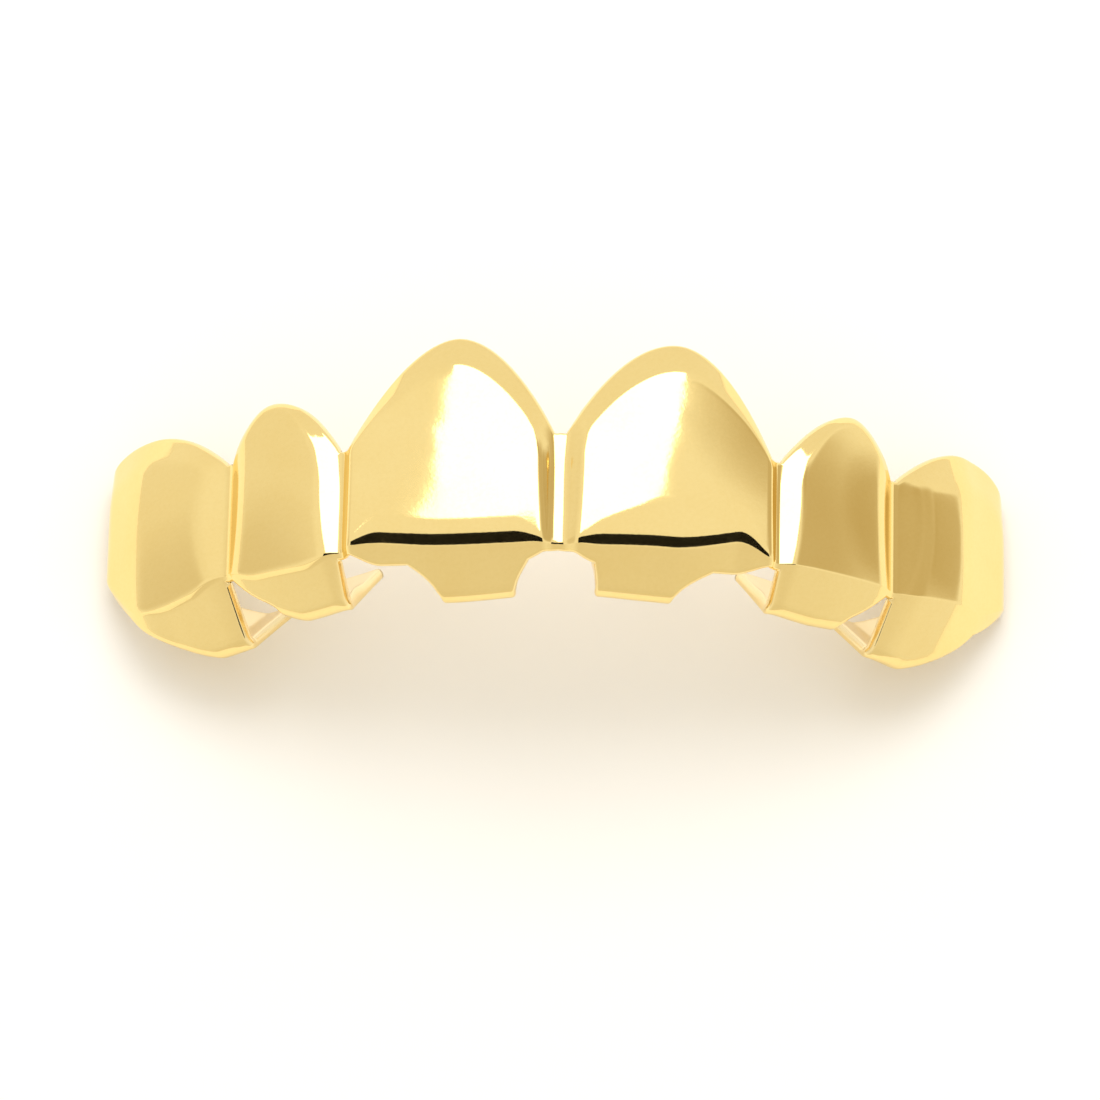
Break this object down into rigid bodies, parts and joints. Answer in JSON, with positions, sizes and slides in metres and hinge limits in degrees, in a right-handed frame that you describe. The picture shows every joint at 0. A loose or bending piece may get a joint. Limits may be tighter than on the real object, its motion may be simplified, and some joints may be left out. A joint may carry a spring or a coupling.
{
  "type": "grillz tooth cover",
  "caption": "Polished gold-coloured metal cover for the upper front teeth, with bevelled caps, rolled lower edges and tabs behind the teeth.",
  "frame": {"origin": "centre of the bounding box's underside: the cover lies on its back on the ground there", "axes": "+X along the row of teeth, +Y towards the gum line, +Z out of the visible front of the caps"},
  "size_m": [0.0424, 0.0134, 0.0126],
  "materials": {
    "plated_metal": "polished"
  },
  "bodies": {
    "root": {"tooth_cover": "plated_metal"}
  },
  "joints": []
}
